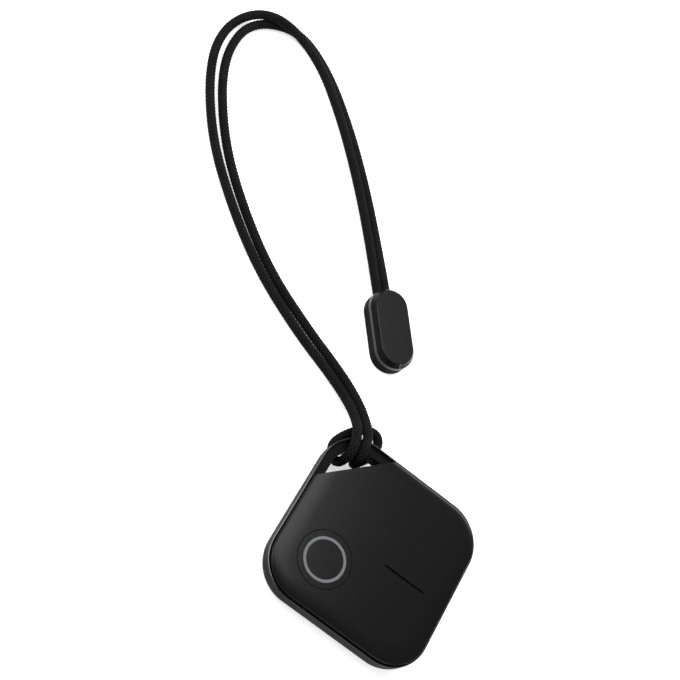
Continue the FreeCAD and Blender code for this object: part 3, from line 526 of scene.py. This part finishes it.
def make_cover():
    """Crowned cover with its corner cut off, hollow behind, with button hole and slit."""
    above = COVER_TOP + MM
    below = COVER_FOOT - MM
    roof = COVER_TOP - COVER_THICKNESS
    inner = BODY_HALF - COVER_INSET - COVER_SKIRT
    hollow = five_sided(inner, CUT_OFFSET - COVER_SKIRT, CORNER_ROUND - COVER_INSET - COVER_SKIRT)
    hole = BUTTON_RADIUS + FIT_GAP
    hole_outline = rounded_outline(hole, hole, hole - FIT_GAP / 100)
    slit = [size / 2 for size in SLIT_SIZE]
    slit_outline = rounded_outline(*slit, slit[0] * SLIT_END_SHARE, steps=SLIT_END_STEPS)
    cutters = [
        prism("corner_cut", corner_triangle(CUT_OFFSET), below, above),
        prism("hollow_cut", hollow, below, roof),
        prism("button_cut", hole_outline, below, above, BUTTON_PLACE),
        prism("slit_cut", slit_outline, below, above, SLIT_PLACE),
    ]
    cover = soften_edges(cut_away(cover_blank(), cutters), "soft_cover", COVER_EDGE)
    hand_over(cover, "front_cover", "housing", SOFT_BLACK)


def refine_solids():
    """Joined copies of the outer solids with softened edges, in the solids' places."""
    for node, body, edge in REFINED_NODES:
        slot = SLOTS[node]
        finished = soften_edges(merged_copy(node), f"{node}_looks", edge)
        hand_over(finished, node, body, FINISHES[slot])


make_cover()
refine_solids()


# ------------------------------------------------------------------ braided cord
YARN_DEPTH = 0.16 * MM
LAY_LENGTH = 6.6 * MM
CORD_RINGS = 2400
CORD_SIDES = 40
# How a yarn's back falls off to its sides and to its ends, and the height kept as it is.
SIDE_POWER = 1.2
END_POWER = 0.8
LEVEL_CROWN = 0.8


def make_braid_tree():
    """Tube along a curve whose surface is a plain braid of yarns lying both ways."""
    nodes, given, out = new_group(
        "GeometryNodeTree", "braided_tube",
        [("Route", "NodeSocketGeometry", None), ("Radius", "NodeSocketFloat", 0.001),
         ("Yarn Depth", "NodeSocketFloat", 0.0001), ("Lay Length", "NodeSocketFloat", 0.0066),
         ("Yarns", "NodeSocketFloat", 8.0), ("Rings", "NodeSocketInt", CORD_RINGS),
         ("Sides", "NodeSocketInt", CORD_SIDES), ("Finish", "NodeSocketMaterial", None)],
        [("Tube", "NodeSocketGeometry")])
    line = nodes.add("GeometryNodeResampleCurve", mode="COUNT")
    nodes.feed(line.inputs["Curve"], given["Route"])
    nodes.feed(line.inputs["Count"], given["Rings"])
    way = nodes.add("GeometryNodeSplineParameter")
    along = nodes.add("GeometryNodeCaptureAttribute", domain="POINT")
    along.capture_items.new("FLOAT", "along")
    nodes.feed(along.inputs["Geometry"], line.outputs[0])
    nodes.feed(along.inputs["along"], way.outputs["Length"])
    circle = nodes.add("GeometryNodeCurvePrimitiveCircle", mode="RADIUS")
    nodes.feed(circle.inputs["Resolution"], given["Sides"])
    nodes.feed(circle.inputs["Radius"], given["Radius"])
    around = nodes.add("GeometryNodeCaptureAttribute", domain="POINT")
    around.capture_items.new("FLOAT", "around")
    nodes.feed(around.inputs["Geometry"], circle.outputs[0])
    index = nodes.add("GeometryNodeInputIndex").outputs[0]
    nodes.feed(around.inputs["around"], nodes.math("DIVIDE", index, given["Sides"]))
    tube = nodes.add("GeometryNodeCurveToMesh")
    nodes.feed(tube.inputs["Curve"], along.outputs["Geometry"])
    nodes.feed(tube.inputs["Profile Curve"], around.outputs["Geometry"])
    nodes.feed(tube.inputs["Fill Caps"], True)
    turns = nodes.math("DIVIDE", along.outputs["along"], given["Lay Length"])
    right = nodes.math("MULTIPLY", given["Yarns"],
                       nodes.math("ADD", around.outputs["around"], turns))
    left = nodes.math("MULTIPLY", given["Yarns"],
                      nodes.math("SUBTRACT", around.outputs["around"], turns))
    swell_right = nodes.math("SINE", nodes.math("MULTIPLY", nodes.math("FRACT", right), math.pi))
    swell_left = nodes.math("SINE", nodes.math("MULTIPLY", nodes.math("FRACT", left), math.pi))
    cell = nodes.math("ADD", nodes.math("FLOOR", right), nodes.math("FLOOR", left))
    odd = nodes.math("FLOORED_MODULO", cell, 2.0)
    across = nodes.mix("FLOAT", odd, swell_right, swell_left)
    lengthwise = nodes.mix("FLOAT", odd, swell_left, swell_right)
    crown = nodes.math("MULTIPLY", nodes.math("POWER", across, SIDE_POWER),
                       nodes.math("POWER", lengthwise, END_POWER))
    lift = nodes.math("MULTIPLY", nodes.math("SUBTRACT", crown, LEVEL_CROWN),
                      given["Yarn Depth"])
    facing = nodes.add("GeometryNodeInputNormal").outputs[0]
    push = nodes.add("ShaderNodeVectorMath", operation="SCALE")
    nodes.feed(push.inputs[0], facing)
    nodes.feed(push.inputs["Scale"], lift)
    moved = nodes.add("GeometryNodeSetPosition")
    nodes.feed(moved.inputs["Geometry"], tube.outputs[0])
    nodes.feed(moved.inputs["Offset"], push.outputs[0])
    # The yarn height, kept for the braid material, which paints shade between the yarns from it.
    kept = nodes.add("GeometryNodeStoreNamedAttribute", data_type="FLOAT", domain="POINT")
    nodes.feed(kept.inputs["Geometry"], moved.outputs[0])
    kept.inputs["Name"].default_value = "crown"
    nodes.feed(kept.inputs["Value"], crown)
    smooth = nodes.add("GeometryNodeSetShadeSmooth")
    nodes.feed(smooth.inputs["Geometry"], kept.outputs[0])
    real = nodes.add("GeometryNodeRealizeInstances")
    nodes.feed(real.inputs["Geometry"], smooth.outputs[0])
    coloured = nodes.add("GeometryNodeSetMaterial")
    nodes.feed(coloured.inputs["Geometry"], real.outputs[0])
    nodes.feed(coloured.inputs["Material"], given["Finish"])
    nodes.feed(out["Tube"], coloured.outputs[0])
    return nodes.tree


def set_inputs(modifier, values):
    """Set a geometry tree's inputs by the identifiers of its named sockets."""
    for item in modifier.node_group.interface.items_tree:
        if item.in_out == "INPUT" and item.name in values:
            modifier[item.identifier] = values[item.name]


def make_lanyard():
    """Braided cord from the end piece, round the tag's corner bar and back again."""
    thread = route_curve()
    traced = plain_mesh(thread, "route_trace")
    braid = thread.modifiers.new("braid", "NODES")
    braid.node_group = make_braid_tree()
    set_inputs(braid, {"Radius": CORD_DIAMETER / 2, "Yarn Depth": YARN_DEPTH,
                       "Lay Length": LAY_LENGTH, "Rings": CORD_RINGS, "Sides": CORD_SIDES,
                       "Finish": BRAID})
    lanyard = plain_mesh(thread, "lanyard")
    for spent in (thread, traced):
        bpy.data.objects.remove(spent)
    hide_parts("cord_near", "cord_hitch", "cord_far")
    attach(lanyard, "housing")


make_lanyard()


# ------------------------------------------------------------------ floor and lights
FLOOR_HALF = 1.5
FLOOR_GREY = (0.86, 0.86, 0.86, 1.0)
FLOOR_GLOW = 0.6
WHITE = (1.0, 1.0, 1.0, 1.0)
WORLD_LIGHT = 0.3
TAG_MIDDLE = (0.0, 0.0, 0.0)
END_MIDDLE = (0.045, 0.02, 0.0)
FAR_CORNER = (0.03, 0.04, 0.0)
NEAR_CORD = (0.02, 0.02, 0.0)
# Each lamp's place, what it faces, its width and height, and its watts.
SOFTBOXES = {
    "overhead": ((0.155, 0.052, 0.40), TAG_MIDDLE, 0.25, 0.16, 0.8),
    "far_side": ((0.30, 0.42, 0.31), FAR_CORNER, 0.16, 0.12, 0.5),
    "right_strip": ((0.42, -0.08, 0.27), TAG_MIDDLE, 0.40, 0.08, 1.4),
    "bevel_side": ((-0.015, 0.33, 0.385), END_MIDDLE, 0.20, 0.16, 1.0),
    "low_edge": ((0.50, -0.35, 0.045), END_MIDDLE, 0.20, 0.05, 0.3),
    "fill": ((-0.45, -0.35, 0.50), NEAR_CORD, 0.4, 0.4, 1.3),
}


def make_floor():
    """Pale floor that shows white to the eye and keeps the object's shadow."""
    grid = bmesh.new()
    bmesh.ops.create_grid(grid, x_segments=1, y_segments=1, size=FLOOR_HALF)
    mesh = bpy.data.meshes.new("floor")
    grid.to_mesh(mesh)
    grid.free()
    floor = place_object("floor", mesh)
    material, nodes, shader = new_material("pale_floor")
    shader.inputs["Base Color"].default_value = FLOOR_GREY
    shader.inputs["Roughness"].default_value = 1.0
    shader.inputs["Specular IOR Level"].default_value = 0.0
    paths = nodes.add("ShaderNodeLightPath").outputs
    seen = nodes.math("MAXIMUM", paths["Is Camera Ray"],
                      nodes.math("MAXIMUM", paths["Is Glossy Ray"], paths["Is Transmission Ray"]))
    shader.inputs["Emission Color"].default_value = WHITE
    nodes.feed(shader.inputs["Emission Strength"], nodes.math("MULTIPLY", seen, FLOOR_GLOW))
    mesh.materials.append(material)


def add_softbox(name, place, aim, width, height, watts):
    """Rectangular lamp at a place, turned to what it faces."""
    lamp = bpy.data.lights.new(name, "AREA")
    lamp.shape = "RECTANGLE"
    lamp.size = width
    lamp.size_y = height
    lamp.energy = watts
    stand = place_object(name, lamp)
    stand.location = place
    stand.rotation_euler = (Vector(aim) - Vector(place)).to_track_quat("-Z", "Y").to_euler()


def make_world():
    """Even white surroundings, dim enough to leave the shading to the lamps."""
    world = bpy.data.worlds.new("studio")
    world.use_nodes = True
    back = world.node_tree.nodes["Background"]
    back.inputs["Color"].default_value = WHITE
    back.inputs["Strength"].default_value = WORLD_LIGHT
    bpy.context.scene.world = world


make_floor()
make_world()
for lamp_name, lamp_values in SOFTBOXES.items():
    add_softbox(lamp_name, *lamp_values)
bpy.context.scene.view_settings.view_transform = "Standard"
